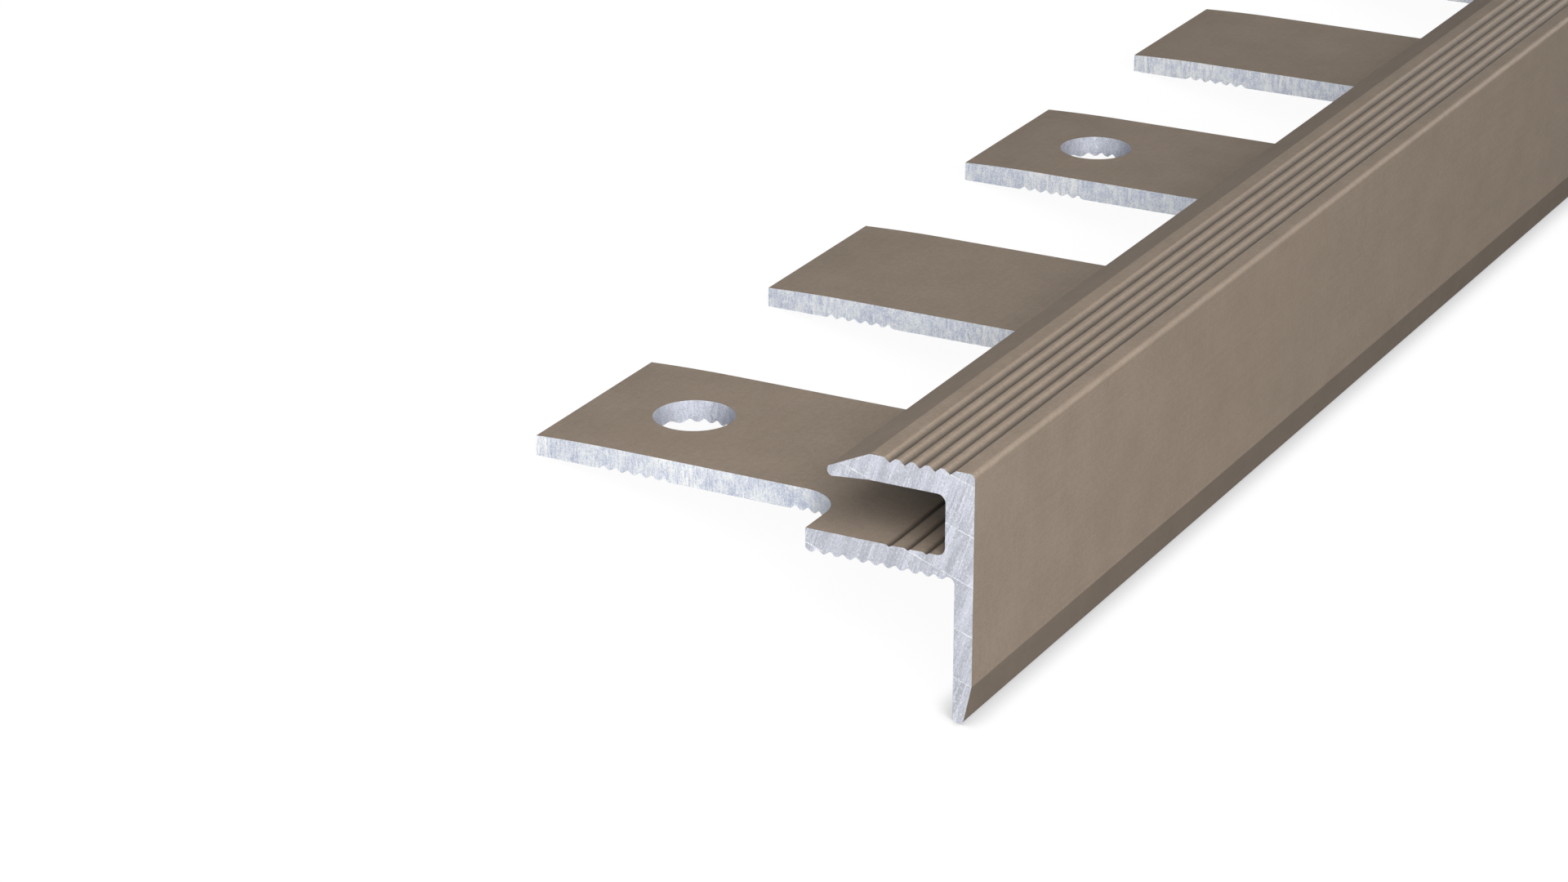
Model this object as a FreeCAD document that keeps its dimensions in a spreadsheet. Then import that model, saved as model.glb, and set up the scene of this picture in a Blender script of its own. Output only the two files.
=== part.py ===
import FreeCAD, Part
import math
import os
import Sketcher

# Stair nosing: one aluminium extrusion, with its anchoring plate punched into tabs.
# The section is drawn in use position: X points out of the front face, Z is up, and the
# origin is the line where the front face meets the lip taper. The length runs along +Y.
# The finished profile is then laid down as it rests on a level floor.

sizes = {
    # overall stock
    "length": 1000.0,
    "depth": 43.2,           # front face to the free ends of the tabs
    # front leg
    "legThick": 1.6,
    "lipHeight": 3.3,        # tapered lip below the flat of the front face
    "lipTaper": 0.7,         # how far the front face runs back over the lip
    "lipRound": 0.4,
    # anchoring plate
    "plateTop": 10.5,        # slot floor above the lip taper
    "plateThick": 1.95,
    "tailRun": 8.0,          # the plate thins towards its free edge
    "tailDrop": 0.2,
    # slot for the floor covering
    "webThick": 2.45,
    "slotHeight": 5.1,
    "slotCorner": 0.7,
    # top flange
    "flangeThick": 2.15,
    "flangeReach": 12.65,    # front face to the tip of the clamping lip
    "landEnd": 9.0,          # where the flat land ends and the back slope starts
    "hookStart": 9.05,       # where the underside starts to fall to the tip
    "hookDrop": 0.32,
    "hookTip": 0.8,           # height of the blunt tip before it is rounded
    "hookRound": 0.42,
    "noseRound": 0.45,
    # grooves along the tread
    "treadFirst": 2.1,
    "treadPitch": 1.29,
    "treadCount": 5,
    "treadWidth": 0.95,
    "treadDepth": 0.4,
    "treadRound": 0.28,
    # shallow grooves in the slot floor
    "floorFirst": 4.05,
    "floorPitch": 1.6,
    "floorCount": 3,
    "floorWidth": 0.55,
    "floorDepth": 0.15,
    # serrations under the plate, one group at the web and one around the screw holes
    "serrPitch": 1.13,
    "serrWidth": 0.95,
    "serrDepth": 0.3,
    "serrFirst": 2.2,
    "serrCount": 16,
    "tailSerrFirst": 31.2,
    "tailSerrCount": 6,
    # punching
    "tabPitch": 40.0,
    "tabWidth": 19.0,
    "tabStart": 7.0,         # sawn end to the first tab
    "gapBase": 14.55,        # front face to the bottom of each punched gap
    "gapCorner": 3.6,
    "holeDiameter": 6.9,
    "holeEdge": 9.5,         # hole centre to the free ends of the tabs
    "holeEvery": 2,          # a hole in every second tab
    "cutMargin": 2.0,        # how far the cutting outlines reach past the metal
}

sameLength = 1e-4           # lengths closer than this, in millimetres, are the same

doc = FreeCAD.newDocument("stair_nosing")
sheet = doc.addObject("Spreadsheet::Sheet", "Sizes")
for row, (alias, value) in enumerate(sizes.items(), start=1):
    sheet.set("A%d" % row, alias)
    sheet.set("B%d" % row, str(value))
    sheet.setAlias("B%d" % row, alias)
doc.recompute()

body = doc.addObject("PartDesign::Body", "nosing_profile")
body.Label = "nosing_profile"


def inSheet(text):
    """Write size names in an expression as cells of the sheet."""
    for alias in sorted(sizes, key=len, reverse=True):
        text = text.replace("{%s}" % alias, "Sizes." + alias)
    return text


def valueOf(text):
    """The present value of an expression on the sheet, in millimetres."""
    return float(sheet.evalExpression(inSheet(text)))


def sketchPoint(across, up):
    """A place in a sketch, from two expressions."""
    return FreeCAD.Vector(valueOf(across), valueOf(up), 0)


def originPlane(role):
    """One of the body's own origin planes."""
    for feature in body.Origin.OriginFeatures:
        if feature.Role == role:
            return feature
    raise RuntimeError("no plane " + role)


def newSketch(name, role, height=None):
    """An empty sketch on an origin plane of the body, lifted by an expression."""
    sketch = body.newObject("Sketcher::SketchObject", name)
    sketch.AttachmentSupport = [(originPlane(role), "")]
    sketch.MapMode = "FlatFace"
    if height is not None:
        sketch.setExpression("AttachmentOffset.Base.z", inSheet(height))
    return sketch


def pin(sketch, geometry, vertex, name, across, up):
    """Hold a vertex at a place given by two expressions."""
    for kind, label, text in (("DistanceX", "Across", across), ("DistanceY", "Up", up)):
        sketch.addConstraint(Sketcher.Constraint(kind, -1, 1, geometry, vertex, valueOf(text)))
        index = sketch.ConstraintCount - 1
        sketch.renameConstraint(index, name + label)
        sketch.setExpression("Constraints." + name + label, inSheet(text))


def drawOutline(sketch, corners):
    """A closed outline through named corners, each placed by two expressions."""
    points = [sketchPoint(across, up) for _, across, up in corners]
    count = len(corners)
    for index, point in enumerate(points):
        sketch.addGeometry(Part.LineSegment(point, points[(index + 1) % count]), False)
    for index in range(count):
        following = (index + 1) % count
        sketch.addConstraint(Sketcher.Constraint("Coincident", index, 2, following, 1))
    for index, (name, across, up) in enumerate(corners):
        pin(sketch, index, 1, name, across, up)


def checkCut(feature, volumeBefore):
    """Rebuild, and make sure that a cut has taken metal away."""
    doc.recompute()
    if feature.Shape.Volume > volumeBefore - sameLength ** 3:
        raise RuntimeError(feature.Name + " cuts nothing")


def cutThrough(name, sketch):
    """Cut a sketch right through the metal on the side that its normal turns away from."""
    volumeBefore = body.Shape.Volume
    pocket = body.newObject("PartDesign::Pocket", name)
    pocket.Profile = sketch
    pocket.Type = "ThroughAll"
    checkCut(pocket, volumeBefore)
    return pocket


def repeatCut(name, pocket, sketch, axis, backwards, pitch, count):
    """Repeat a cut in a row."""
    volumeBefore = body.Shape.Volume
    pattern = body.newObject("PartDesign::LinearPattern", name)
    pattern.Originals = [pocket]
    pattern.Direction = (sketch, [axis])
    pattern.Reversed = backwards
    pattern.setExpression("Length", inSheet("(%s) * ((%s) - 1)" % (pitch, count)))
    pattern.setExpression("Occurrences", inSheet(count))
    body.Tip = pattern
    checkCut(pattern, volumeBefore)
    return pattern


def longEdges(places):
    """Names of the edges along Y that pass through the given places of the section."""
    names = []
    for across, up in places:
        x = valueOf(across)
        z = valueOf(up)
        for index, edge in enumerate(body.Shape.Edges, start=1):
            ends = [vertex.Point for vertex in edge.Vertexes]
            if all(math.hypot(end.x - x, end.z - z) < sameLength for end in ends):
                names.append("Edge%d" % index)
    if len(names) != len(places):
        raise RuntimeError("expected %d edges, found %d" % (len(places), len(names)))
    return names


def roundEdges(name, places, radius):
    """Round the long edges at some places of the section."""
    base = body.Tip
    edges = longEdges(places)
    fillet = body.newObject("PartDesign::Fillet", name)
    fillet.Base = (base, edges)
    fillet.setExpression("Radius", inSheet(radius))
    body.Tip = fillet
    doc.recompute()
    return fillet


# heights of the section's faces, as expressions on the sheet
slotFloor = "{plateTop}"
plateUnder = "{plateTop} - {plateThick}"
flangeUnder = "{plateTop} + {slotHeight}"
treadTop = "{plateTop} + {slotHeight} + {flangeThick}"
hookLow = flangeUnder + " - {hookDrop}"

# the extruded section, in order round the metal from the front of the lip taper
section = [
    ("lipTop", "0", "0"),
    ("nose", "0", treadTop),
    ("land", "-{landEnd}", treadTop),
    ("hookTop", "-{flangeReach}", hookLow + " + {hookTip}"),
    ("hookBottom", "-{flangeReach}", hookLow),
    ("hookRoot", "-{hookStart}", flangeUnder),
    ("slotTop", "-{webThick}", flangeUnder),
    ("slotBottom", "-{webThick}", slotFloor),
    ("tailStart", "-({depth} - {tailRun})", slotFloor),
    ("tailTop", "-{depth}", slotFloor + " - {tailDrop}"),
    ("tailBottom", "-{depth}", plateUnder),
    ("legRoot", "-{legThick}", plateUnder),
    ("lipInner", "-{legThick}", "-{lipHeight}"),
    ("lipOuter", "-{lipTaper}", "-{lipHeight}"),
]
place = {name: (across, up) for name, across, up in section}
sectionSketch = newSketch("section", "XZ_Plane")
drawOutline(sectionSketch, section)
extrusion = body.newObject("PartDesign::Pad", "extrusion")
extrusion.Profile = sectionSketch
extrusion.Reversed = True
extrusion.setExpression("Length", "Sizes.length")
doc.recompute()

# rounded corners of the die
roundEdges("noseRounding", [place["nose"]], "{noseRound}")
roundEdges("hookRounding", [place["hookTop"], place["hookBottom"]], "{hookRound}")
roundEdges("slotRounding", [place["slotTop"], place["slotBottom"]], "{slotCorner}")
roundEdges("lipRounding", [place["lipInner"], place["lipOuter"]], "{lipRound}")


def cutGrooves(name, first, pitch, count, face, width, rise):
    """A row of V-shaped grooves in a level face, whose valleys lie a given rise from it."""
    sketch = newSketch(name + "Section", "XZ_Plane")
    drawOutline(sketch, [
        ("front", "-%s + %s / 2" % (first, width), face),
        ("valley", "-%s" % first, "%s + %s" % (face, rise)),
        ("back", "-%s - %s / 2" % (first, width), face),
    ])
    pocket = cutThrough(name + "First", sketch)
    return repeatCut(name, pocket, sketch, "H_Axis", True, pitch, count)


# five grooves along the tread, with rounded ridges between them
cutGrooves("treadGrooves", "{treadFirst}", "{treadPitch}", "{treadCount}",
           treadTop, "{treadWidth}", "(-{treadDepth})")
shoulders = []
for groove in range(sizes["treadCount"]):
    middle = "-{treadFirst} - %d * {treadPitch}" % groove
    shoulders.append((middle + " + {treadWidth} / 2", treadTop))
    shoulders.append((middle + " - {treadWidth} / 2", treadTop))
roundEdges("treadRounding", shoulders, "{treadRound}")

# shallow grooves in the slot floor
cutGrooves("floorGrooves", "{floorFirst}", "{floorPitch}", "{floorCount}",
           slotFloor, "{floorWidth}", "(-{floorDepth})")

# serrations under the plate, which key into the adhesive
cutGrooves("webSerrations", "{serrFirst}", "{serrPitch}", "{serrCount}",
           plateUnder, "{serrWidth}", "{serrDepth}")
cutGrooves("tailSerrations", "{tailSerrFirst}", "{serrPitch}", "{tailSerrCount}",
           plateUnder, "{serrWidth}", "{serrDepth}")

# punched gaps, which leave the tabs standing; the sawn ends each fall in a gap
gapNear = "({tabStart} - ({tabPitch} - {tabWidth}))"
gapFar = "{tabStart}"
gapBack = "-({depth} + {cutMargin})"
gapFront = "-{gapBase}"
cornerAcross = "-({gapBase} + {gapCorner})"
cornerNear = gapNear + " + {gapCorner}"
cornerFar = gapFar + " - {gapCorner}"
axisUp = FreeCAD.Vector(0, 0, 1)


def cornerArc(along, start, end):
    """One rounded corner at the bottom of a gap."""
    circle = Part.Circle(sketchPoint(cornerAcross, along), axisUp, sizes["gapCorner"])
    return Part.ArcOfCircle(circle, start, end)


def drawGap(sketch):
    """A gap that is open at the free ends of the tabs, with two rounded inner corners."""
    sketch.addGeometry([
        Part.LineSegment(sketchPoint(gapBack, gapNear), sketchPoint(cornerAcross, gapNear)),
        cornerArc(cornerNear, -math.pi / 2, 0),
        Part.LineSegment(sketchPoint(gapFront, cornerNear), sketchPoint(gapFront, cornerFar)),
        cornerArc(cornerFar, 0, math.pi / 2),
        Part.LineSegment(sketchPoint(cornerAcross, gapFar), sketchPoint(gapBack, gapFar)),
        Part.LineSegment(sketchPoint(gapBack, gapFar), sketchPoint(gapBack, gapNear)),
    ], False)
    nearLine, nearArc, baseLine, farArc, farLine, backLine = range(6)
    for first, firstEnd, second, secondEnd in (
            (nearLine, 2, nearArc, 1), (nearArc, 2, baseLine, 1),
            (baseLine, 2, farArc, 1), (farArc, 2, farLine, 1)):
        sketch.addConstraint(Sketcher.Constraint("Tangent", first, firstEnd, second, secondEnd))
    for first, second in ((farLine, backLine), (backLine, nearLine)):
        sketch.addConstraint(Sketcher.Constraint("Coincident", first, 2, second, 1))
    sketch.addConstraint(Sketcher.Constraint("Horizontal", farLine))
    sketch.addConstraint(Sketcher.Constraint("Equal", nearArc, farArc))
    sketch.addConstraint(Sketcher.Constraint("Radius", nearArc, sizes["gapCorner"]))
    sketch.renameConstraint(sketch.ConstraintCount - 1, "corner")
    sketch.setExpression("Constraints.corner", "Sizes.gapCorner")
    pin(sketch, nearLine, 1, "backNear", gapBack, gapNear)
    pin(sketch, backLine, 1, "backFar", gapBack, gapFar)
    pin(sketch, nearArc, 3, "nearCentre", cornerAcross, cornerNear)


gapSketch = newSketch("gapOutline", "XY_Plane", slotFloor)
drawGap(gapSketch)
gapPocket = cutThrough("gapFirst", gapSketch)
gapCount = "floor(({length} - %s) / {tabPitch}) + 1" % gapNear
repeatCut("gaps", gapPocket, gapSketch, "V_Axis", False, "{tabPitch}", gapCount)

# screw holes, punched in every second tab
holeSketch = newSketch("holeOutline", "XY_Plane", slotFloor)
holeAcross = "-({depth} - {holeEdge})"
holeAlong = "{tabStart} + {tabWidth} / 2"
holeStep = "{tabPitch} * {holeEvery}"
holeCentre = sketchPoint(holeAcross, holeAlong)
holeSketch.addGeometry(Part.Circle(holeCentre, axisUp, sizes["holeDiameter"] / 2), False)
holeSketch.addConstraint(Sketcher.Constraint("Diameter", 0, sizes["holeDiameter"]))
holeSketch.renameConstraint(0, "diameter")
holeSketch.setExpression("Constraints.diameter", "Sizes.holeDiameter")
pin(holeSketch, 0, 3, "centre", holeAcross, holeAlong)
holePocket = cutThrough("holeFirst", holeSketch)
holeCount = "floor(({length} - (%s) - {holeDiameter} / 2) / (%s)) + 1" % (holeAlong, holeStep)
repeatCut("holes", holePocket, holeSketch, "V_Axis", False, holeStep, holeCount)


def restPlacement(shape):
    """Tip the profile until its lip and the free ends of its tabs both touch the floor."""
    lipAcross = sizes["lipRound"] - sizes["legThick"]
    lipUp = sizes["lipRound"] - sizes["lipHeight"]
    across = lipAcross + sizes["depth"]
    up = lipUp - (sizes["plateTop"] - sizes["plateThick"])
    tilt = math.asin(sizes["lipRound"] / math.hypot(across, up)) - math.atan2(up, across)
    turned = FreeCAD.Rotation(FreeCAD.Vector(0, 1, 0), -math.degrees(tilt))
    laid = shape.copy()
    laid.Placement = FreeCAD.Placement(FreeCAD.Vector(), turned)
    box = laid.optimalBoundingBox(False)
    shift = FreeCAD.Vector(-box.Center.x, -box.Center.y, -box.ZMin)
    return FreeCAD.Placement(shift, turned)


body.Placement = restPlacement(body.Shape)
doc.recompute()

for item in doc.Objects:
    if "Invalid" in item.State or "Error" in item.State:
        raise RuntimeError(item.Name + " failed to build")
if body.Shape.isNull() or not body.Shape.isValid() or len(body.Shape.Solids) != 1:
    raise RuntimeError("nosing_profile is not one valid solid")

os.makedirs("parts", exist_ok=True)
body.Shape.exportStep("parts/nosing_profile.step")
print("volume %.1f mm3, box %s" % (body.Shape.Volume, body.Shape.BoundBox))
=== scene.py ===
import math
import bpy
from mathutils import Euler, Matrix, Vector


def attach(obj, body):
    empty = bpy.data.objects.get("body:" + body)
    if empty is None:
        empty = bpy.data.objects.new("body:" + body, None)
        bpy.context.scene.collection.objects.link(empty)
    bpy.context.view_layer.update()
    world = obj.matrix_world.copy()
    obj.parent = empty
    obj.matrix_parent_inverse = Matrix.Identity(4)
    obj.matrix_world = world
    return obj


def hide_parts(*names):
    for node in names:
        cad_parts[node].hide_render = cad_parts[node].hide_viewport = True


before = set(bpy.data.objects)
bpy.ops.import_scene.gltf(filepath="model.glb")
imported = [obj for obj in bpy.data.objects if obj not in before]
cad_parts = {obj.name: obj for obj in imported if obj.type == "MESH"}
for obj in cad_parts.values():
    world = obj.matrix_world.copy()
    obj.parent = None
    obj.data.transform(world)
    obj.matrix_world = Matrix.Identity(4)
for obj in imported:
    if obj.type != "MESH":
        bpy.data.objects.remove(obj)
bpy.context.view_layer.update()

# A stair nosing, one aluminium extrusion with a punched anchoring plate.
# Its section is laid out in millimetres as it stands in use: X points out of the front
# face, Z is up, and Y runs along the profile from the sawn end that the camera sees.

print("stage: laying out")

rest = {
    "tilt": 15.775815,                    # degrees that the plate leans on its lip and tab ends
    "shift": (22.08506, -500.0, 3.51701), # use position to the floor's own middle, mm
}
turn = Matrix.Rotation(-math.radians(rest["tilt"]), 4, "Y")
toFloor = Matrix.Scale(0.001, 4) @ Matrix.Translation(rest["shift"]) @ turn


# The camera stands where the photograph was taken, and leans with the profile.

view = {
    "place": (135.2542, -283.0761, 147.1542),   # mm, beside the upright section
    "heading": 28.185,                    # degrees to the left of the length
    "fall": 22.0,                         # degrees down
    "lens": 102.69,                       # mm, for a sensor 36 mm wide
}
lens = bpy.data.cameras.new("camera")
lens.lens = view["lens"]
lens.sensor_width = 36.0
lens.clip_start = 0.01
lens.clip_end = 100.0
camera = bpy.data.objects.new("camera", lens)
bpy.context.collection.objects.link(camera)
aim = Euler((math.radians(90 - view["fall"]), 0, math.radians(view["heading"]))).to_matrix()
camera.matrix_world = Matrix.Translation(toFloor @ Vector(view["place"])) @ turn @ aim.to_4x4()
bpy.context.scene.camera = camera


# section of the extrusion

section = {
    "length": 1000.0,
    "plateEnd": 43.2,        # front face to the free ends of the tabs
    "legThick": 1.6,
    "lipHeight": 3.3,
    "lipTaper": 0.7,
    "lipRound": 0.4,
    "lipBreak": 0.1,         # rounding where the taper starts
    "plateTop": 10.5,
    "plateThick": 1.95,
    "tailRun": 8.0,
    "tailDrop": 0.2,
    "rootReach": 0.6,        # hollow where the leg meets the plate
    "rootDrop": 0.55,
    "rootSteps": 6,
    "webThick": 2.45,
    "slotHeight": 5.1,
    "slotCorner": 0.7,
    "flangeThick": 2.15,
    "flangeReach": 12.65,
    "landEnd": 9.0,
    "landRound": 0.25,
    "hookStart": 9.05,
    "hookDrop": 0.32,
    "hookTip": 0.8,
    "hookRound": 0.42,
    "hookTopRound": 0.378,
    "noseRound": 0.45,
    "treadFirst": 2.1,
    "treadPitch": 1.29,
    "treadCount": 5,
    "treadWidth": 0.95,
    "treadDepth": 0.4,
    "treadRound": 0.28,
    "floorFirst": 4.05,
    "floorPitch": 1.6,
    "floorCount": 3,
    "floorWidth": 0.55,
    "floorDepth": 0.15,
    "floorRound": 0.12,
    "valleyRound": 0.05,
    "serrPitch": 1.13,
    "serrDepth": 0.31,
    "serrShape": 1.3,        # above 1, the valleys are narrower than the ridges
    "serrGroups": ((2.2, 16), (31.2, 6)),
    "serrSteps": 8,
    "arcStep": 11.0,         # degrees to a facet on the rounded corners
    "holding": 0.04,         # strip that keeps a flat face flat beside a rounding
    "sharpFrom": 28.0,       # degrees between faces from which an edge stays sharp
}

punching = {
    "pitch": 40.0,
    "tabStart": 7.0,
    "tabWidth": 19.0,
    "gapBase": 14.55,
    "gapCorner": 3.6,
    "cornerSteps": 14,
    "holeEdge": 9.5,
    "holeRadius": 3.45,
    "holeSteps": 28,
    "holeEvery": 2,
    "tailSteps": 6,
    "nearest": 0.006,        # cross lines closer than this, in mm, are the same
    "slack": 0.000001,
    "weld": 0.000001,        # metres
}

finishes = ["coated", "sawn", "punched", "bored"]


# an outline through corners of (x, z, radius), with the roundings laid out in facets

def rounded(corners, s):
    points = []
    last = len(corners) - 1
    for index, (x, z, radius) in enumerate(corners):
        corner = Vector((x, z))
        if radius == 0 or index in (0, last):
            points.append((corner, False))
            continue
        before = (Vector(corners[index - 1][:2]) - corner).normalized()
        after = (Vector(corners[index + 1][:2]) - corner).normalized()
        half = before.angle(after) / 2
        reach = radius / math.tan(half)
        centre = corner + (before + after).normalized() * radius / math.sin(half)
        first = corner + before * reach - centre
        swing = first.angle_signed(corner + after * reach - centre)
        steps = max(2, math.ceil(abs(math.degrees(swing)) / s["arcStep"]))
        for step in range(steps + 1):
            spoke = first.copy()
            spoke.rotate(Matrix.Rotation(-swing * step / steps, 2))
            points.append((centre + spoke, step in (0, steps)))
    outline = []
    for (here, hereArc), (there, thereArc) in zip(points, points[1:]):
        outline.append(here)
        gap = there - here
        if gap.length > 6 * s["holding"]:
            if hereArc:
                outline.append(here + gap.normalized() * s["holding"])
            if thereArc:
                outline.append(there - gap.normalized() * s["holding"])
    outline.append(points[-1][0])
    return [(point.x, point.y) for point in outline]


def grooveCorners(first, pitch, count, face, width, depth, shoulder, valley):
    corners = []
    for groove in range(count):
        middle = -first - groove * pitch
        corners += [
            (middle + width / 2, face, shoulder),
            (middle, face - depth, valley),
            (middle - width / 2, face, shoulder),
        ]
    return corners


def underSide(x, s):
    level = s["plateTop"] - s["plateThick"]
    first, count = s["serrGroups"][0]
    if x > -first:
        along = min(1.0, (x + first) / s["rootReach"])
        return level + s["serrDepth"] - s["rootDrop"] * (1 - math.sqrt(1 - along * along))
    for first, count in s["serrGroups"]:
        place = (-first - x) / s["serrPitch"]
        if -0.5 < place < count - 0.5:
            wave = (1 + math.cos(2 * math.pi * place)) / 2
            return level + s["serrDepth"] * wave ** s["serrShape"]
    return level


def upperSide(x, s):
    past = max(0.0, -x - (s["plateEnd"] - s["tailRun"])) / s["tailRun"]
    return s["plateTop"] - s["tailDrop"] * past * past


# places across the plate where the serrations need a line

def waveLines(s):
    lines = []
    for first, count in s["serrGroups"]:
        for step in range(-s["serrSteps"] // 2, count * s["serrSteps"] - s["serrSteps"] // 2 + 1):
            lines.append(-first - step * s["serrPitch"] / s["serrSteps"])
    return lines


def railOutline(s, p):
    top = s["plateTop"] + s["slotHeight"] + s["flangeThick"]
    under = s["plateTop"] + s["slotHeight"]
    hookLow = under - s["hookDrop"]
    floorGrooves = grooveCorners(s["floorFirst"], s["floorPitch"], s["floorCount"],
                                 s["plateTop"], s["floorWidth"], s["floorDepth"],
                                 s["floorRound"], s["valleyRound"])
    treadGrooves = grooveCorners(s["treadFirst"], s["treadPitch"], s["treadCount"],
                                 top, s["treadWidth"], s["treadDepth"],
                                 s["treadRound"], s["valleyRound"])
    corners = [(-p["gapBase"], s["plateTop"], 0)]
    corners += reversed(floorGrooves)
    corners += [
        (-s["webThick"], s["plateTop"], s["slotCorner"]),
        (-s["webThick"], under, s["slotCorner"]),
        (-s["hookStart"], under, s["landRound"]),
        (-s["flangeReach"], hookLow, s["hookRound"]),
        (-s["flangeReach"], hookLow + s["hookTip"], s["hookTopRound"]),
        (-s["landEnd"], top, s["landRound"]),
    ]
    corners += reversed(treadGrooves)
    corners += [
        (0, top, s["noseRound"]),
        (0, 0, s["lipBreak"]),
        (-s["lipTaper"], -s["lipHeight"], s["lipRound"]),
        (-s["legThick"], -s["lipHeight"], s["lipRound"]),
        (-s["legThick"], s["plateTop"] - s["plateThick"] + s["serrDepth"] - s["rootDrop"], 0),
    ]
    outline = rounded(corners, s)
    root = s["serrGroups"][0][0]
    for step in range(1, s["rootSteps"] + 1):
        x = -root + s["rootReach"] * math.cos(math.pi / 2 * step / s["rootSteps"])
        outline.append((x, underSide(x, s)))
    for x in sorted(waveLines(s), reverse=True):
        if -p["gapBase"] + p["nearest"] < x < -root - p["nearest"]:
            outline.append((x, underSide(x, s)))
    outline.append((-p["gapBase"], underSide(-p["gapBase"], s)))
    return outline


def crossLines(s, p, holed):
    lines = [-p["gapBase"], -s["plateEnd"]]
    centre = -p["gapBase"] - p["gapCorner"]
    for step in range(p["cornerSteps"] + 1):
        lines.append(centre + p["gapCorner"] * math.cos(math.pi / 2 * step / p["cornerSteps"]))
    middle = -s["plateEnd"] + p["holeEdge"]
    if holed:
        for step in range(p["holeSteps"] + 1):
            lines.append(middle + p["holeRadius"] * math.cos(math.pi * step / p["holeSteps"]))
    for step in range(p["tailSteps"]):
        lines.append(-s["plateEnd"] + s["tailRun"] * (1 - step / p["tailSteps"]))
    keep = list(lines)
    lines += [x for x in waveLines(s) if all(abs(x - other) > p["nearest"] for other in keep)]
    chosen = []
    for x in sorted(lines, reverse=True):
        if x > -p["gapBase"] + p["slack"]:
            continue
        if not chosen or chosen[-1] - x > p["nearest"]:
            chosen.append(x)
    return chosen


def tabSide(x, p):
    reach = max(0.0, x + p["gapBase"] + p["gapCorner"])
    across = math.sqrt(max(0.0, p["gapCorner"] ** 2 - reach * reach))
    return p["tabStart"] - p["gapCorner"] + across


# one pitch of the profile, with its half gaps, tab and, in every second one, the hole

def makeCell(name, holed, s, p):
    verts = []
    faces = []
    marks = []

    def face(points, mark):
        start = len(verts)
        verts.extend(toFloor @ Vector(point) for point in points)
        faces.append(list(range(start, len(verts))))
        marks.append(finishes.index(mark))

    pitch = p["pitch"]
    middleY = p["tabStart"] + p["tabWidth"] / 2
    baseLow = p["tabStart"] - p["gapCorner"]
    baseHigh = 2 * middleY - baseLow
    outline = railOutline(s, p)
    last = len(outline) - 2
    for index, ((x0, z0), (x1, z1)) in enumerate(zip(outline, outline[1:])):
        ring = [(x0, 0, z0), (x1, 0, z1)]
        if index == last:
            ring += [(x1, baseLow, z1), (x1, baseHigh, z1)]
        ring += [(x1, pitch, z1), (x0, pitch, z0)]
        if index == 0:
            ring += [(x0, baseHigh, z0), (x0, baseLow, z0)]
        face(ring, "coated")
    (xTop, zTop), (xLow, zLow) = outline[0], outline[-1]
    for y0, y1 in ((0, baseLow), (baseHigh, pitch)):
        face([(xLow, y0, zLow), (xTop, y0, zTop), (xTop, y1, zTop), (xLow, y1, zLow)], "punched")

    holeX = -s["plateEnd"] + p["holeEdge"]
    radius, slack = p["holeRadius"], p["slack"]

    def halfHole(x):
        return math.sqrt(max(0.0, radius ** 2 - (x - holeX) ** 2))

    lines = crossLines(s, p, holed)
    for xa, xb in zip(lines, lines[1:]):
        ta, tb = upperSide(xa, s), upperSide(xb, s)
        ua, ub = underSide(xa, s), underSide(xb, s)
        la, lb = tabSide(xa, p), tabSide(xb, p)
        ha, hb = 2 * middleY - la, 2 * middleY - lb
        inHole = holed and xa <= holeX + radius + slack and xb >= holeX - radius - slack
        startsHole = holed and not inHole and abs(xb - holeX - radius) < slack
        endsHole = holed and not inHole and abs(xa - holeX + radius) < slack
        if inHole:
            da, db = halfHole(xa), halfHole(xb)
            spans = [(la, middleY - da, lb, middleY - db), (middleY + da, ha, middleY + db, hb)]
        else:
            spans = [(la, ha, lb, hb)]
        for la, ha, lb, hb in spans:
            upper = [(xb, lb, tb), (xa, la, ta)]
            lower = [(xa, la, ua), (xb, lb, ub)]
            if endsHole:
                upper += [(xa, middleY, ta)]
            upper += [(xa, ha, ta), (xb, hb, tb)]
            if startsHole:
                upper += [(xb, middleY, tb)]
                lower += [(xb, middleY, ub)]
            lower += [(xb, hb, ub), (xa, ha, ua)]
            if endsHole:
                lower += [(xa, middleY, ua)]
            face(upper, "coated")
            face(lower, "coated")
            lowMark = "bored" if inHole and la > middleY else "punched"
            highMark = "bored" if inHole and ha < middleY + slack else "punched"
            face([(xb, lb, ub), (xa, la, ua), (xa, la, ta), (xb, lb, tb)], lowMark)
            face([(xa, ha, ua), (xb, hb, ub), (xb, hb, tb), (xa, ha, ta)], highMark)
    x, low, high = lines[-1], underSide(lines[-1], s), upperSide(lines[-1], s)
    y0, y1 = p["tabStart"], p["tabStart"] + p["tabWidth"]
    face([(x, y0, low), (x, y0, high), (x, y1, high), (x, y1, low)], "coated")
    return meshObject(name, verts, faces, marks)


def makeEnd(name, s, p):
    outline = railOutline(s, p)
    verts = [toFloor @ Vector((x, 0, z)) for x, z in outline]
    return meshObject(name, verts, [list(reversed(range(len(verts))))], [finishes.index("sawn")])


def meshObject(name, verts, faces, marks):
    mesh = bpy.data.meshes.new(name)
    mesh.from_pydata(verts, [], faces)
    mark = mesh.attributes.new("finish", "INT", "FACE")
    mark.data.foreach_set("value", marks)
    made = bpy.data.objects.new(name, mesh)
    bpy.context.collection.objects.link(made)
    return made


# a node's output, on which sums and products add their Math nodes

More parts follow.
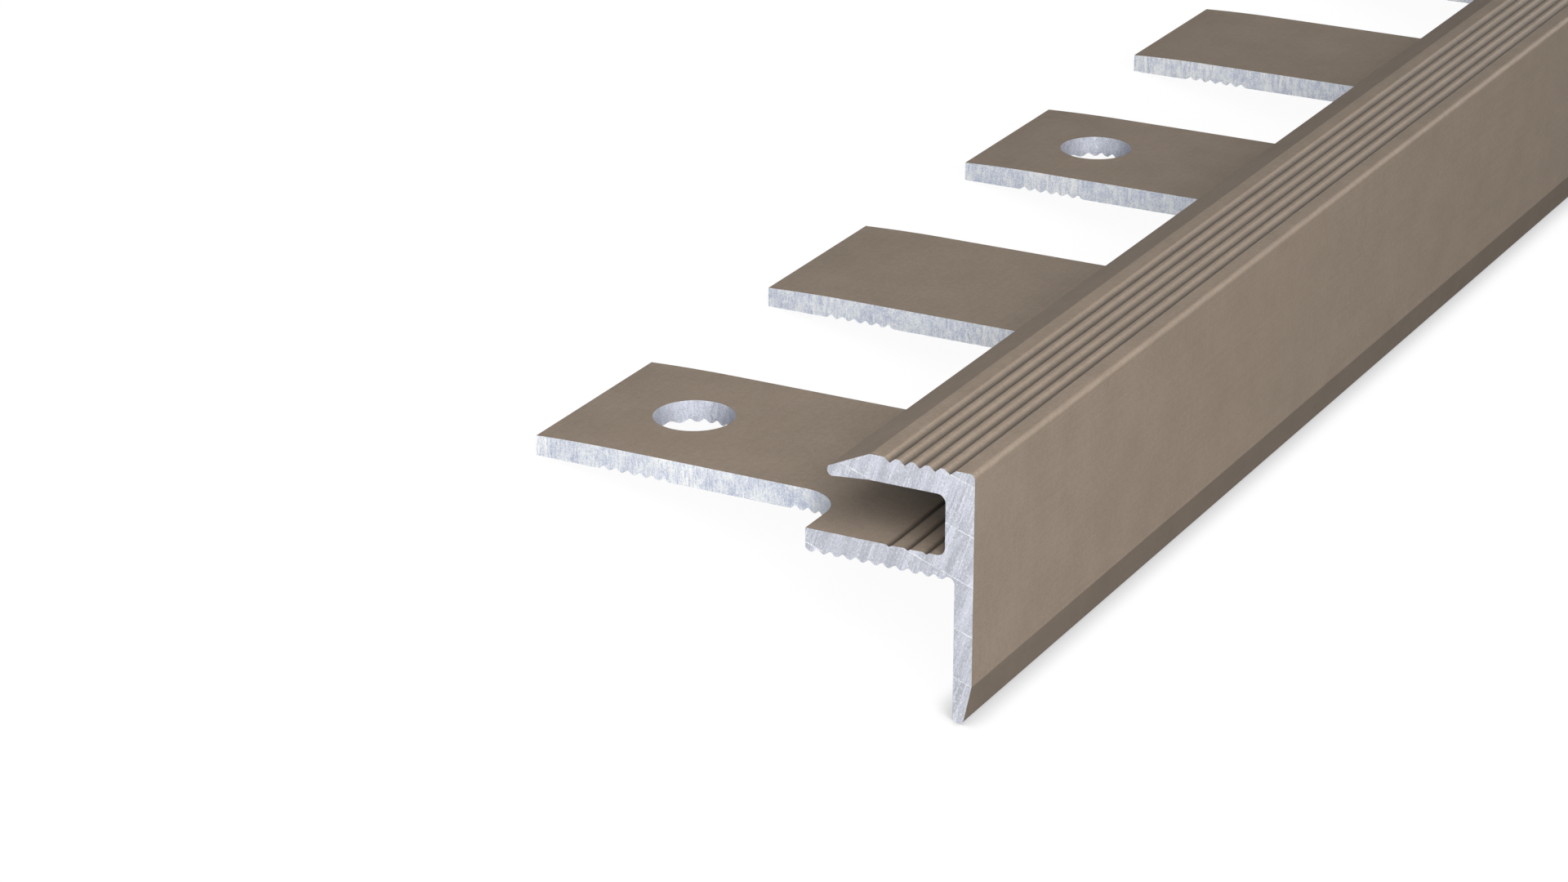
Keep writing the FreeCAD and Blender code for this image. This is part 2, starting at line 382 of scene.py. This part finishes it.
class Value:
    def __init__(self, finish, socket):
        self.finish = finish
        self.socket = socket

    def reckon(self, operation, other=0.0):
        return self.finish.add("ShaderNodeMath", {"operation": operation}, {0: self, 1: other})

    def __add__(self, other):
        return self.reckon("ADD", other)

    def __sub__(self, other):
        return self.reckon("SUBTRACT", other)

    def __rsub__(self, other):
        return self.finish.add("ShaderNodeMath", {"operation": "SUBTRACT"}, {0: other, 1: self})

    def __mul__(self, other):
        return self.reckon("MULTIPLY", other)

    __radd__ = __add__
    __rmul__ = __mul__


# one material: its place is Object coordinates, its sheet the upright section in millimetres

class Finish:
    def __init__(self, name):
        self.material = bpy.data.materials.new(name)
        self.material.use_nodes = True
        self.tree = self.material.node_tree
        self.tree.nodes.clear()
        self.place = self.add("ShaderNodeTexCoord", {}, {}, "Object")
        self.sheet = self.add("ShaderNodeMapping", {"vector_type": "TEXTURE"}, {
            "Vector": self.place,
            "Location": Vector(rest["shift"]) / 1000,
            "Rotation": (0, -math.radians(rest["tilt"]), 0),
            "Scale": (0.001, 0.001, 0.001),
        })

    def add(self, kind, settings, inputs, output=0):
        node = self.tree.nodes.new(kind)
        for name, setting in settings.items():
            setattr(node, name, setting)
        for name, given in inputs.items():
            if isinstance(given, Value):
                self.tree.links.new(given.socket, node.inputs[name])
            else:
                node.inputs[name].default_value = given
        return Value(self, node.outputs[output]) if len(node.outputs) else None

    def stretched(self, scale):
        return self.add("ShaderNodeMapping", {}, {"Vector": self.sheet, "Scale": scale})

    def noise(self, vector, scale, detail=3.0, roughness=0.55):
        return self.add("ShaderNodeTexNoise", {}, {
            "Vector": vector, "Scale": scale, "Detail": detail, "Roughness": roughness})

    def fade(self, value, low, high, lowest=0.0, highest=1.0):
        return self.add("ShaderNodeMapRange", {"interpolation_type": "SMOOTHSTEP"}, {
            "Value": value, "From Min": low, "From Max": high,
            "To Min": lowest, "To Max": highest})

    def between(self, value, low, high, edge):
        rise = self.fade(value, low - edge, low)
        return rise * self.fade(value, high, high + edge, 1.0, 0.0)

    def parts(self, vector):
        split = self.add("ShaderNodeSeparateXYZ", {}, {"Vector": vector})
        return [Value(self, socket) for socket in split.socket.node.outputs]

    def joined(self, x, y, z):
        return self.add("ShaderNodeCombineXYZ", {}, {"X": x, "Y": y, "Z": z})

    def clamped(self, value):
        return self.add("ShaderNodeClamp", {}, {"Value": value})

    def mix(self, factor, first, second):
        return self.add("ShaderNodeMix", {"data_type": "RGBA"}, {
            0: factor, 6: first, 7: second}, 2)

    def close(self, inputs, height=None, depth=0.0):
        if height is not None:
            inputs["Normal"] = self.add("ShaderNodeBump", {}, {
                "Height": height, "Distance": depth, "Strength": 1.0})
        shader = self.add("ShaderNodeBsdfPrincipled", {}, inputs)
        self.add("ShaderNodeOutputMaterial", {}, {"Surface": shader})
        return self.material


coated = {
    "colour": (0.222, 0.179, 0.141, 1),
    "light": (0.298, 0.240, 0.191, 1),
    "paintedShade": (0.030, 0.025, 0.021, 1),   # painted shade, in the bottoms of the grooves and on the lip's taper
    # shares of painted shade in the tread's grooves, the slot floor's grooves and the lip's taper
    "treadPaintedShade": 0.72,
    "floorPaintedShade": 0.8,
    "lipPaintedShade": 0.3,
    "metallic": 0.3,
    "roughness": 0.48,
    "specular": 0.35,
    "grain": 6.5,            # fine grain, to a millimetre
    "mottle": 1.7,
    "cloud": 0.22,
    "drawn": (4.0, 0.03, 4.0),
    "treadEdge": 0.15,       # softness of the painted shade's fields in the tread, mm
    "floorEdge": 0.1,
    "floorBelow": 0.4,       # field of painted shade on the slot's floor, from its own level
    "floorAbove": 0.1,
    "floorSpan": 3.9,        # from the first groove's middle to past the last one
    "lipFrom": 0.05,         # heights between which the lip's taper gets its painted shade
    "lipFull": -0.2,
    "bump": 0.000012,
}


def coatedFinish(c, s):
    f = Finish("coated aluminium")
    cloud = f.noise(f.sheet, c["cloud"], 4.0)
    mottle = f.noise(f.sheet, c["mottle"], 3.0)
    grain = f.noise(f.sheet, c["grain"], 3.0, 0.7)
    drawn = f.noise(f.stretched(c["drawn"]), 1.0, 2.0)     # faint lines left by the die
    tone = f.fade(grain * 0.56 + mottle * 0.16 + cloud * 0.18 + drawn * 0.10, 0.38, 0.62)
    x, _, z = f.parts(f.sheet)
    top = s["plateTop"] + s["slotHeight"] + s["flangeThick"]
    bottom = top - s["treadDepth"]
    treadStart = s["treadFirst"] - s["treadWidth"] * 0.8
    treadEnd = s["treadFirst"] + (s["treadCount"] - 0.2) * s["treadPitch"]
    # painted shade: the tread's grooves darken towards their bottoms
    tread = f.fade(z, bottom, top - s["treadDepth"] * 0.1, 1.0, 0.0)
    tread = tread * f.fade(z, bottom - 2 * c["treadEdge"], bottom - 0.1)
    tread = tread * f.between(x, -treadEnd, -treadStart, c["treadEdge"])
    # painted shade: dark bands over the grooves in the slot's floor
    offGroove = (x + s["floorFirst"]).reckon("PINGPONG", s["floorPitch"] / 2)
    floor = f.fade(offGroove, 0, s["floorWidth"] * 0.8, 1.0, 0.0)
    floor = floor * f.between(z, s["plateTop"] - c["floorBelow"],
                              s["plateTop"] + c["floorAbove"], c["floorEdge"])
    floorEnd = -s["floorFirst"] - c["floorSpan"]
    floor = floor * f.fade(x, floorEnd - c["floorEdge"], floorEnd)
    # painted shade: the lip's taper darkens towards its foot
    lip = f.fade(z, c["lipFull"], c["lipFrom"], c["lipPaintedShade"], 0.0)
    paintedShade = tread * c["treadPaintedShade"] + floor * c["floorPaintedShade"] + lip
    ground = f.mix(tone, c["colour"], c["light"])
    return f.close({
        "Base Color": f.mix(f.clamped(paintedShade), ground, c["paintedShade"]),
        "Roughness": f.fade(grain, 0.3, 0.7, c["roughness"] - 0.05, c["roughness"] + 0.06),
        "Metallic": c["metallic"],
        "Specular IOR Level": c["specular"],
    }, grain * 0.75 + drawn * 0.25, c["bump"])


sawn = {
    "dark": (0.48, 0.50, 0.565, 1),
    "light": (0.75, 0.775, 0.875, 1),
    "scratch": (1.0, 1.0, 1.0, 1),
    "metallic": 0.6,
    "roughness": 0.4,
    "lean": 19.5,            # degrees from level at which the tooth lines fall to the front
    "pitch": 3.93,           # from one tooth line to the next
    "first": 7.83,
    "lineWidth": 0.045,
    "wobble": 0.1,
    "streaks": 5.5,          # to a millimetre
    "streakReach": 0.2,
    "grain": 8.0,
    "flecks": 5.5,
    "jag": 2.4,
    "beads": 9.0,            # how finely the tooth lines are broken up
    "broad": 0.9,
    "blotch": 1.2,
    "tipStart": 4.0,         # below this height the leg is flecked more and more, and its ground tone darkens as painted shade
    "tipEnd": -2.5,
    "bump": 0.00002,
}


def sawnFinish(c):
    f = Finish("sawn aluminium")
    lean = math.radians(c["lean"])
    turned = f.add("ShaderNodeMapping", {}, {"Vector": f.sheet, "Rotation": (0, -lean, 0)})
    along, depth, across = f.parts(turned)
    upright = f.parts(f.sheet)[2]
    jag = f.noise(f.sheet, c["jag"], 3.0, 0.6)
    bands = (across - c["first"] + (jag - 0.5) * c["wobble"]) * (1 / c["pitch"])
    band = bands.reckon("FLOOR")
    off = bands.reckon("PINGPONG", 0.5) * c["pitch"]
    held = f.noise(f.joined(along * c["broad"], depth, band * 7.0), 1.0, 2.0)
    beads = f.noise(f.joined(along, depth, band), c["beads"], 2.0, 0.7)
    line = f.fade(off, 0, c["lineWidth"], 1.0, 0.0) * f.fade(held, 0.40, 0.54)
    line = line * f.fade(beads, 0.3, 0.5, 0.5, 1.0)
    streaks = f.noise(f.joined(along * c["streaks"], depth + band * 5.0,
                               across * c["streakReach"]), 1.0, 4.0, 0.65)
    broad = f.noise(f.joined(along * c["broad"], depth + band * 3.0, across * 0.1),
                    1.0, 3.0, 0.5)
    blotch = f.noise(f.sheet, c["blotch"], 4.0, 0.6)
    grain = f.noise(f.joined(along, depth, across * 0.6), c["grain"], 4.0, 0.75)
    tip = f.fade(upright, c["tipEnd"], c["tipStart"], 1.0, 0.0)
    flecks = f.noise(f.joined(along + blotch * 0.8, depth, across * 0.5), c["flecks"], 3.0, 0.6)
    fleck = f.fade(flecks, 0.56, 0.66) * (0.5 + tip * 0.5)
    gouge = f.fade(streaks, 0.59, 0.70) * f.fade(blotch, 0.4, 0.6)
    tone = f.fade(streaks * 0.22 + broad * 0.26 + blotch * 0.1 + grain * 0.42, 0.42, 0.60)
    # painted shade: the ground tone darkens towards the foot of the leg
    ground = f.mix(f.clamped(tone - tip * 0.15), c["dark"], c["light"])
    bright = f.clamped(line * 0.9 + fleck * 0.55 + gouge * 0.4)
    return f.close({
        "Base Color": f.mix(bright, ground, c["scratch"]),
        "Roughness": f.fade(streaks, 0.3, 0.7, c["roughness"] - 0.07, c["roughness"] + 0.1),
        "Metallic": c["metallic"],
    }, tone * 0.4 + bright * 0.6, c["bump"])


punched = {
    "dark": (0.53, 0.58, 0.74, 1),
    "light": (0.95, 0.98, 1.0, 1),
    "torn": (1.0, 1.0, 1.0, 1),
    "metallic": 0.6,
    "roughness": 0.42,
    "shear": (7.0, 7.0, 0.6),     # upright marks of the punch, to a millimetre
    "chatter": (2.6, 2.6, 0.5),
    "crinkle": (4.0, 4.0, 2.0),
    "grain": 8.5,
    "blotch": 0.9,
    "patch": 0.085,               # where the metal tore
    "bump": 0.00004,
}


def punchedFinish(c):
    f = Finish("punched aluminium")
    shear = f.noise(f.stretched(c["shear"]), 1.0, 4.0, 0.7)
    chatter = f.noise(f.stretched(c["chatter"]), 1.0, 5.0, 0.75)
    blotch = f.noise(f.sheet, c["blotch"], 4.0, 0.6)
    grain = f.noise(f.sheet, c["grain"], 3.0, 0.7)
    ripple = f.noise(f.stretched(c["crinkle"]), 1.0, 3.0, 0.6)
    patch = f.fade(f.noise(f.sheet, c["patch"], 1.0), 0.5, 0.58)
    crinkle = f.fade((ripple - 0.5).reckon("ABSOLUTE"), 0, 0.035, 1.0, 0.0)
    tone = f.fade(grain * 0.38 + shear * 0.22 + blotch * 0.22 + chatter * 0.18, 0.4, 0.6)
    torn = f.clamped(crinkle * 0.5 + f.fade(chatter, 0.48, 0.62) * 0.7) * patch
    scored = f.fade(chatter, 0.36, 0.44, 1.0, 0.0) * f.fade(ripple, 0.42, 0.52) * patch
    ground = f.mix(f.clamped(tone - scored * 0.8), c["dark"], c["light"])
    return f.close({
        "Base Color": f.mix(torn * 0.8, ground, c["torn"]),
        "Roughness": f.fade(shear, 0.3, 0.7, c["roughness"] - 0.06, c["roughness"] + 0.1),
        "Metallic": c["metallic"],
    }, tone * 0.35 + torn * 0.45 - scored * 0.3, c["bump"])


bored = {
    "dark": (0.40, 0.42, 0.485, 1),
    "light": (0.70, 0.73, 0.83, 1),
    "metallic": 0.6,
    "roughness": 0.42,
    "drag": (3.0, 3.0, 0.8),   # marks that the punch drags through the hole
    "grain": 9.0,
    "bump": 0.00002,
}


def boredFinish(c):
    f = Finish("bored aluminium")
    drag = f.noise(f.stretched(c["drag"]), 1.0, 4.0, 0.7)
    grain = f.noise(f.sheet, c["grain"], 4.0, 0.75)
    tone = f.fade(drag * 0.3 + grain * 0.7, 0.36, 0.64)
    return f.close({
        "Base Color": f.mix(tone, c["dark"], c["light"]),
        "Roughness": f.fade(drag, 0.3, 0.7, c["roughness"] - 0.05, c["roughness"] + 0.1),
        "Metallic": c["metallic"],
    }, tone, c["bump"])


def growNosing(s, p, materials):
    plain = makeCell("plain stretch", False, s, p)
    holed = makeCell("holed stretch", True, s, p)
    end = makeEnd("sawn end", s, p)
    tree = bpy.data.node_groups.new("nosing", "GeometryNodeTree")
    tree.is_modifier = True
    sockets = {}
    for name, kind in (
            ("Plain stretch", "NodeSocketObject"), ("Holed stretch", "NodeSocketObject"),
            ("Sawn end", "NodeSocketObject"), ("Pitch", "NodeSocketFloat"),
            ("Count", "NodeSocketInt"), ("Hole every", "NodeSocketInt"),
            ("Weld", "NodeSocketFloat")):
        sockets[name] = tree.interface.new_socket(name, in_out="INPUT", socket_type=kind)
    tree.interface.new_socket("Geometry", in_out="OUTPUT", socket_type="NodeSocketGeometry")
    source = tree.nodes.new("NodeGroupInput")

    def add(kind, settings, links):
        node = tree.nodes.new(kind)
        for name, setting in settings.items():
            setattr(node, name, setting)
        for name, given in links.items():
            if isinstance(given, bpy.types.NodeSocket):
                tree.links.new(given, node.inputs[name])
            else:
                node.inputs[name].default_value = given
        return node

    given = source.outputs
    step = add("ShaderNodeCombineXYZ", {}, {"Y": given["Pitch"]})
    line = add("GeometryNodeMeshLine", {"mode": "OFFSET"}, {
        "Count": given["Count"], "Offset": step.outputs[0]})
    index = add("GeometryNodeInputIndex", {}, {})
    left = add("FunctionNodeIntegerMath", {"operation": "MODULO"}, {
        0: index.outputs[0], 1: given["Hole every"]})
    hasHole = add("FunctionNodeCompare", {"data_type": "INT", "operation": "EQUAL"}, {
        2: left.outputs[0], 3: 0})
    noHole = add("FunctionNodeBooleanMath", {"operation": "NOT"}, {0: hasHole.outputs[0]})
    join = tree.nodes.new("GeometryNodeJoinGeometry")
    for stretch, where in (("Holed stretch", hasHole), ("Plain stretch", noHole)):
        info = add("GeometryNodeObjectInfo", {}, {"Object": given[stretch]})
        row = add("GeometryNodeInstanceOnPoints", {}, {
            "Points": line.outputs[0], "Selection": where.outputs[0],
            "Instance": info.outputs["Geometry"]})
        tree.links.new(row.outputs[0], join.inputs[0])
    cap = add("GeometryNodeObjectInfo", {}, {"Object": given["Sawn end"]})
    tree.links.new(cap.outputs["Geometry"], join.inputs[0])
    total = add("ShaderNodeMath", {"operation": "MULTIPLY"}, {
        0: given["Pitch"], 1: given["Count"]})
    reach = add("ShaderNodeCombineXYZ", {}, {"Y": total.outputs[0]})
    moved = add("GeometryNodeTransform", {}, {
        "Geometry": cap.outputs["Geometry"], "Translation": reach.outputs[0]})
    flipped = add("GeometryNodeFlipFaces", {}, {0: moved.outputs[0]})
    tree.links.new(flipped.outputs[0], join.inputs[0])
    whole = add("GeometryNodeRealizeInstances", {}, {0: join.outputs[0]})
    welded = add("GeometryNodeMergeByDistance", {}, {
        "Geometry": whole.outputs[0], "Distance": given["Weld"]})
    mark = add("GeometryNodeInputNamedAttribute", {"data_type": "INT"}, {"Name": "finish"})
    result = welded.outputs[0]
    for number, material in enumerate(materials):
        chosen = add("FunctionNodeCompare", {"data_type": "INT", "operation": "EQUAL"}, {
            2: mark.outputs[0], 3: number})
        painted = add("GeometryNodeSetMaterial", {}, {
            "Geometry": result, "Selection": chosen.outputs[0], "Material": material})
        result = painted.outputs[0]
    tree.links.new(result, tree.nodes.new("NodeGroupOutput").inputs[0])

    seed = bpy.data.objects.new("nosing seed", bpy.data.meshes.new("nosing seed"))
    bpy.context.collection.objects.link(seed)
    modifier = seed.modifiers.new("nosing", "NODES")
    modifier.node_group = tree
    values = {
        "Plain stretch": plain, "Holed stretch": holed, "Sawn end": end,
        "Pitch": p["pitch"] / 1000, "Count": round(s["length"] / p["pitch"]),
        "Hole every": p["holeEvery"], "Weld": p["weld"],
    }
    for name, value in values.items():
        modifier[sockets[name].identifier] = value
    bpy.context.view_layer.update()
    evaluated = seed.evaluated_get(bpy.context.evaluated_depsgraph_get())
    mesh = bpy.data.meshes.new_from_object(evaluated)
    seed.modifiers.clear()
    for helper in (seed, plain, holed, end):
        bpy.data.objects.remove(helper)
    mesh.name = "nosing"
    mesh.polygons.foreach_set("use_smooth", [True] * len(mesh.polygons))
    mesh.set_sharp_from_angle(angle=math.radians(s["sharpFrom"]))
    mesh.update()
    made = bpy.data.objects.new("nosing", mesh)
    bpy.context.collection.objects.link(made)
    return made


print("stage: nosing")
materials = [coatedFinish(coated, section), sawnFinish(sawn), punchedFinish(punched),
             boredFinish(bored)]
nosing = growNosing(section, punching, materials)
print("nosing:", len(nosing.data.vertices), "points,", len(nosing.data.polygons), "faces")
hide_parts("nosing_profile")
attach(nosing, "root")


print("stage: floor and light")

studio = {
    "floorSize": 30.0,
    "floorPale": 0.9,        # as the camera sees it
    "floorBounce": 0.08,     # as it throws light back
    "shadowReach": 0.0032,   # metres that the painted soft shadow spreads from what rests on the floor
    "shadowRays": 12,
    "shadowDeep": 0.45,      # open shares of the sky where the shadow is fullest and ends
    "shadowFaint": 0.88,
    "shadowTone": (0.62, 0.62, 0.63, 1),
    "lipLine": 0.018,        # metres from the middle to the lip, whose side alone has it
    "cameraWhite": 0.955,    # share of plain white that the camera sees in the floor
    "glossWhite": 0.08,
    "fill": 0.15,            # strength of the world on the object
    "fillColour": (0.96, 0.98, 1.0, 1),
    "nearEnd": (0, -0.46, 0),
    "middle": (0, 0.1, 0),
    "farSpan": (0, 0.38, 0),
    "farEnd": (0, 0.45, 0),
    "lamps": [               # target, heading, height angle, distance, size, power, colour
        ("key", "nearEnd", 300, 54, 0.42, 0.42, 0.42, 1.6, (1.0, 0.985, 0.96)),
        ("side", "nearEnd", 300, 30, 0.36, 0.38, 0.38, 2.2, (1.0, 0.985, 0.96)),
        ("low", "nearEnd", 255, 22, 0.4, 0.35, 0.35, 0.48, (0.94, 0.97, 1.0)),
        ("rim", "nearEnd", 35, 12, 0.5, 0.4, 0.3, 0.15, (1.0, 0.98, 0.95)),
        ("long", "middle", 0, 60, 0.5, 1.3, 0.4, 0.6, (1.0, 0.985, 0.96)),
        ("longBack", "middle", 180, 50, 0.5, 1.3, 0.4, 0.12, (1.0, 0.99, 0.98)),
        ("middleKey", "middle", 300, 30, 0.36, 0.4, 0.3, 0.55, (1.0, 0.985, 0.96)),
        ("farKey", "farSpan", 325, 36, 0.42, 0.5, 0.4, 2.2, (1.0, 0.985, 0.96)),
        ("farEnd", "farEnd", 80, 30, 0.45, 0.5, 0.45, 1.7, (1.0, 0.98, 0.95)),
    ],
}


def makeFloor(s):
    half = s["floorSize"] / 2
    mesh = bpy.data.meshes.new("floor")
    mesh.from_pydata([(-half, -half, 0), (half, -half, 0), (half, half, 0), (-half, half, 0)],
                     [], [(0, 1, 2, 3)])
    floor = bpy.data.objects.new("floor", mesh)
    bpy.context.collection.objects.link(floor)
    f = Finish("studio floor")
    isCamera = f.add("ShaderNodeLightPath", {}, {}, "Is Camera Ray")
    isGlossy = f.add("ShaderNodeLightPath", {}, {}, "Is Glossy Ray")
    # painted shadow: the floor's plain white darkens towards the shadow's tone where little of
    # the sky is open, on the lip's side only
    free = f.add("ShaderNodeAmbientOcclusion", {"samples": s["shadowRays"]},
                 {"Distance": s["shadowReach"]}, "AO")
    shaded = f.fade(free, s["shadowDeep"], s["shadowFaint"], 1.0, 0.0)
    shaded = shaded * f.fade(f.parts(f.place)[0], 0.0, s["lipLine"])
    ground = f.mix(shaded, (1, 1, 1, 1), s["shadowTone"])
    plain = f.add("ShaderNodeEmission", {}, {"Color": ground, "Strength": 1.0})
    pale = f.fade(isCamera, 0, 1, s["floorBounce"], s["floorPale"])
    lit = f.add("ShaderNodeBsdfDiffuse", {}, {"Color": pale})
    share = isCamera * s["cameraWhite"] + isGlossy * s["glossWhite"]
    both = f.add("ShaderNodeMixShader", {}, {0: share, 1: lit, 2: plain})
    f.add("ShaderNodeOutputMaterial", {}, {"Surface": both})
    mesh.materials.append(f.material)


def makeWorld(s):
    world = bpy.data.worlds.new("studio")
    bpy.context.scene.world = world
    world.use_nodes = True
    tree = world.node_tree
    tree.nodes.clear()
    path = tree.nodes.new("ShaderNodeLightPath")
    fill = tree.nodes.new("ShaderNodeBackground")
    fill.inputs["Color"].default_value = s["fillColour"]
    fill.inputs["Strength"].default_value = s["fill"]
    white = tree.nodes.new("ShaderNodeBackground")
    white.inputs["Color"].default_value = (1, 1, 1, 1)
    both = tree.nodes.new("ShaderNodeMixShader")
    tree.links.new(path.outputs["Is Camera Ray"], both.inputs[0])
    tree.links.new(fill.outputs[0], both.inputs[1])
    tree.links.new(white.outputs[0], both.inputs[2])
    out = tree.nodes.new("ShaderNodeOutputWorld")
    tree.links.new(both.outputs[0], out.inputs["Surface"])


def softBox(name, place, target, size, power, colour):
    data = bpy.data.lights.new(name, "AREA")
    data.shape = "RECTANGLE"
    data.size, data.size_y = size
    data.energy = power
    data.color = colour
    lamp = bpy.data.objects.new(name, data)
    bpy.context.collection.objects.link(lamp)
    lamp.location = place
    lamp.rotation_euler = (Vector(target) - Vector(place)).to_track_quat("-Z", "Y").to_euler()
    lamp.visible_camera = False


def makeLamps(s):
    for name, aimed, heading, height, distance, wide, high, power, colour in s["lamps"]:
        h, v = math.radians(heading), math.radians(height)
        way = Vector((math.cos(h) * math.cos(v), math.sin(h) * math.cos(v), math.sin(v)))
        target = Vector(s[aimed])
        softBox(name, target + way * distance, target, (wide, high), power, colour)


makeFloor(studio)
makeWorld(studio)
makeLamps(studio)

bpy.context.scene.view_settings.view_transform = "Standard"
